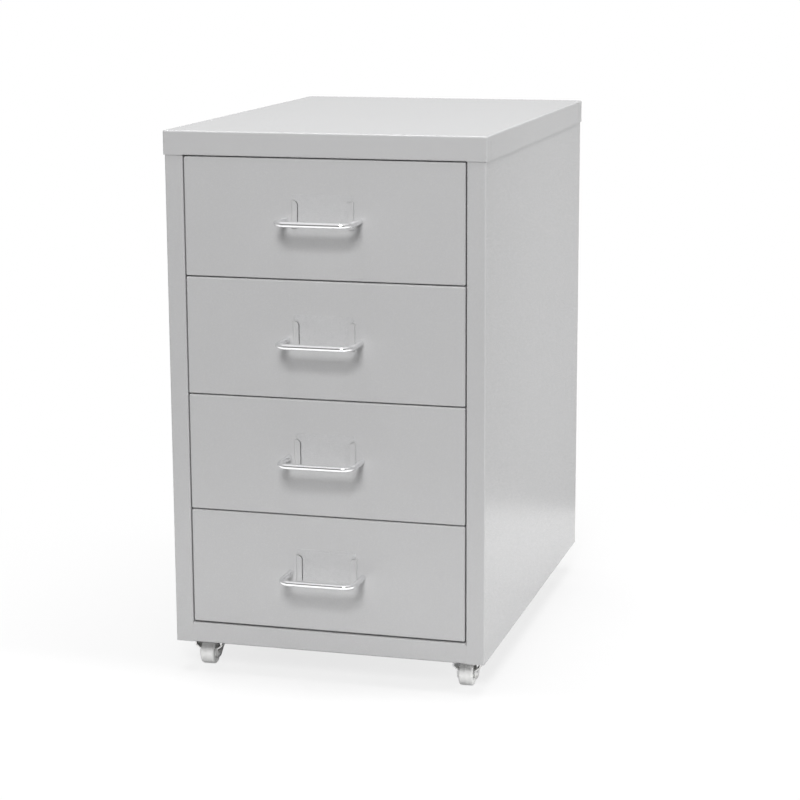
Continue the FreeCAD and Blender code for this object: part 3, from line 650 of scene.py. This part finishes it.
def bail_rings(low, high):
    """Centre, direction and radius of each ring of wire, from the left stud's end to the right's."""
    level = (low.z + high.z) / 2
    face = high.y - stud_length
    bar = low.y + wire_radius
    x = (high.x - low.x) / 2 - wire_radius
    inward = Vector((0, -1, 0))
    half_path = [(Vector((-x, high.y, level)), inward, stud_core - stud_tip)]
    for i in range(int(stud_length / stud_pitch * 2)):
        half_path.append((Vector((-x, high.y - stud_tip - i * stud_pitch / 2, level)), inward,
                          stud_radius if i % 2 else stud_core))
    half_path.append((Vector((-x, face, level)), inward, wire_radius - shoulder_chamfer))
    half_path.append((Vector((-x, face - shoulder_chamfer, level)), inward, wire_radius))
    for i in range(bend_steps + 1):
        turn = math.pi / 2 * i / bend_steps
        spot = Vector((-x + handle_bend * (1 - math.cos(turn)),
                       bar + handle_bend * (1 - math.sin(turn)), level))
        half_path.append((spot, Vector((math.sin(turn), -math.cos(turn), 0)), wire_radius))
    mirrored = [(Vector((-p.x, p.y, p.z)), Vector((d.x, -d.y, 0)), r)
                for p, d, r in reversed(half_path)]
    return half_path + mirrored


def smoothed(mesh, degrees):
    """Round faces shaded smooth, edges sharper than the angle kept."""
    mesh.shade_smooth()
    mesh.set_sharp_from_angle(angle=math.radians(degrees))
    return mesh


def swept(name, rings):
    """A closed tube through the rings, with a map of its way round and its way along."""
    tube = bmesh.new()
    layer = tube.loops.layers.uv.new("along_wire")
    upward = Vector((0, 0, 1))
    rows = []
    for spot, direction, radius in rings:
        across = direction.cross(upward).normalized()
        turns = (2 * math.pi * k / ring_points for k in range(ring_points))
        rows.append([tube.verts.new(spot + radius * (across * math.cos(a) + upward * math.sin(a)))
                     for a in turns])
    far = 0.0
    for i in range(len(rows) - 1):
        step = (rings[i + 1][0] - rings[i][0]).length
        for k in range(ring_points):
            m = (k + 1) % ring_points
            face = tube.faces.new((rows[i][k], rows[i][m], rows[i + 1][m], rows[i + 1][k]))
            spots = ((k, far), (k + 1, far), (k + 1, far + step), (k, far + step))
            for loop, (u, v) in zip(face.loops, spots):
                loop[layer].uv = (u / ring_points, v)
        far += step
    tube.faces.new(rows[0][::-1])
    tube.faces.new(rows[-1])
    return smoothed(meshed(name, tube), 35)


bright_chrome = chrome()
for n in range(1, 5):
    mesh = swept("wire_handle_%d" % n, bail_rings(*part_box("handle_%d" % n)))
    mesh.materials.append(bright_chrome)
    wire_handle = put_in_scene("wire_handle_%d" % n, mesh)
    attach(wire_handle, "drawer_%d" % n)
    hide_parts("handle_%d" % n)


# A zinc plated hexagon nut behind the drawer's front holds each stud of the handle. Its
# corners are turned off to a shallow dome on both faces. The sizes are in millimetres.

nut_across_corners, nut_height, nut_bore = 8.08, 3.2, 1.75
dome_width_share, dome_height_share = 1.17, 0.715
bore_length = 12.0

tree, given = open_tree("hexagon_nut", Across_corners=nut_across_corners, Height=nut_height,
                        Bore_radius=nut_bore)
corner = times(tree, given["Across_corners"], 0.5)
dome_width = times(tree, corner, dome_width_share)
dome = shaped(tree, ball(tree, 48, 24),
              Scale=three(tree, dome_width, dome_width,
                          times(tree, given["Height"], dome_height_share)))
hexagon = common(tree, cylinder(tree, 6, corner, given["Height"]), dome)
bored = node(tree, "GeometryNodeMeshBoolean",
             {0: hexagon, 1: cylinder(tree, 28, given["Bore_radius"], bore_length)},
             operation="DIFFERENCE")
close_tree(tree, given["Places"], bored.outputs[0], (math.pi / 2, 0.0, 0.0), math.pi / 3, zinc)

for n in range(1, 5):
    middles = [(low + high) / 2 for low, high in islands("handle_nuts_%d" % n)]
    nuts = grown("hexagon_nuts_%d" % n, tree, middles)
    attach(nuts, "drawer_%d" % n)
    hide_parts("handle_nuts_%d" % n)


# Four small swivel castors stand under the floor. Each has a zinc plated top plate held by
# four rivets, a kingpin and a pressed fork, and a white nylon wheel on a riveted axle.

rivet_head_radius, rivet_head_height = 3.0, 0.9
rivet_tail_radius, rivet_tail_height, rivet_grip = 2.4, 1.8, 2.0

tree, given = open_tree("plate_rivet", Head_radius=rivet_head_radius,
                        Head_height=rivet_head_height, Tail_radius=rivet_tail_radius,
                        Tail_height=rivet_tail_height, Grip=rivet_grip)
head, tail = (shaped(tree, ball(tree, 24, 14), Scale=three(tree, radius, radius, height),
                     Translation=three(tree, z=level))
              for radius, height, level in
              ((given["Head_radius"], given["Head_height"], 0.0),
               (given["Tail_radius"], given["Tail_height"], given["Grip"])))
close_tree(tree, given["Places"], joined(tree, head, tail), (0.0, 0.0, 0.0), math.pi, zinc)

undersides = [Vector(((low.x + high.x) / 2, (low.y + high.y) / 2,
                      low.z + rivet_head_height * millimetre))
              for low, high in islands("castor_rivets")]
rivets = grown("castor_plate_rivets", tree, undersides)
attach(rivets, "cabinet")
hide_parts("castor_rivets")

corners = ("front_left", "front_right", "rear_left", "rear_right")
for corner in corners:
    for part in ("castor_plate_", "castor_kingpin_", "castor_fork_", "castor_axle_"):
        dress(part + corner, zinc)


# The wheels are moulded of off-white nylon: a rounded tread with the mould's parting line,
# a shallow recess in each side, and a hub.

wheel_radius, wheel_half, wheel_steps = 0.0105, 0.00625, 56
wheel_bore, hub_radius, hub_half = 0.00156, 0.0042, 0.00655
hub_edge_width, hub_edge_depth, hub_slope = 0.0004, 0.0003, 0.0002
recess_radius, recess_floor, recess_fillet, recess_lip = 0.0079, 0.00525, 0.0003, 0.0002
tread_round, tread_steps = 0.0020, 8
parting_line, parting_half = 0.00006, 0.00018
nylon_white, nylon_dusty = (0.94, 0.94, 0.93, 1), (0.66, 0.65, 0.63, 1)
nylon_smoothest, nylon_roughest, speck_depth = 0.38, 0.52, 0.00003
specks_per_metre, dust_most = 700.0, 0.20
dust_reach, dust_fade = 0.0013, 0.0009


def nylon():
    """Off-white nylon, softly shining, with a little floor dust on the tread."""
    finish, tree, shader = open_finish("off_white_nylon")
    tread = node(tree, "ShaderNodeAttribute", attribute_name="tread").outputs["Fac"]
    specks = noise(tree, place_on(tree), specks_per_metre, 4.0)
    dust = times(tree, spread(tree, specks, 0.0, dust_most, 0.5, 0.8), tread)
    feed(tree, shader, {"Base Color": between(tree, dust, nylon_white, nylon_dusty),
                        "Roughness": spread(tree, specks, nylon_smoothest, nylon_roughest),
                        "Normal": bumps(tree, specks, 0.3, speck_depth)})
    return finish


def wheel_profile():
    """Radius and place along the axle of the wheel's outline, from one end of its bore."""
    side = [(wheel_bore, hub_half), (hub_radius - hub_edge_width, hub_half),
            (hub_radius, hub_half - hub_edge_depth), (hub_radius + hub_slope, recess_floor),
            (recess_radius - recess_fillet, recess_floor),
            (recess_radius, wheel_half - recess_lip), (recess_radius + recess_lip, wheel_half)]
    for i in range(tread_steps + 1):
        turn = math.pi / 2 * i / tread_steps
        side.append((wheel_radius - parting_line - tread_round + tread_round * math.sin(turn),
                     wheel_half - tread_round + tread_round * math.cos(turn)))
    side.append((wheel_radius - parting_line, parting_half))
    return ([(radius, -along) for radius, along in side] + [(wheel_radius, 0.0)]
            + side[::-1])


white_nylon = nylon()
for corner in corners:
    low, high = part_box("castor_wheel_" + corner)
    centre = (low + high) / 2
    lathe = bmesh.new()
    outline = [lathe.verts.new((centre.x + along, centre.y, centre.z + radius))
               for radius, along in wheel_profile()]
    edges = [lathe.edges.new(pair) for pair in zip(outline, outline[1:] + outline[:1])]
    bmesh.ops.spin(lathe, geom=outline + edges, cent=centre, axis=(1, 0, 0), steps=wheel_steps,
                   angle=2 * math.pi, use_merge=True)
    bmesh.ops.remove_doubles(lathe, verts=lathe.verts, dist=1e-6)
    mesh = smoothed(meshed("nylon_wheel_" + corner, lathe), 32)
    tread = mesh.attributes.new("tread", "FLOAT", "POINT")
    for vertex in mesh.vertices:
        off = Vector((0, vertex.co.y - centre.y, vertex.co.z - centre.z)).length
        dusty = (off - wheel_radius + dust_reach) / dust_fade
        tread.data[vertex.index].value = max(0.0, min(1.0, dusty))
    mesh.materials.append(white_nylon)
    wheel = put_in_scene("nylon_wheel_" + corner, mesh)
    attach(wheel, "wheel_" + corner)
    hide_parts("castor_wheel_" + corner)
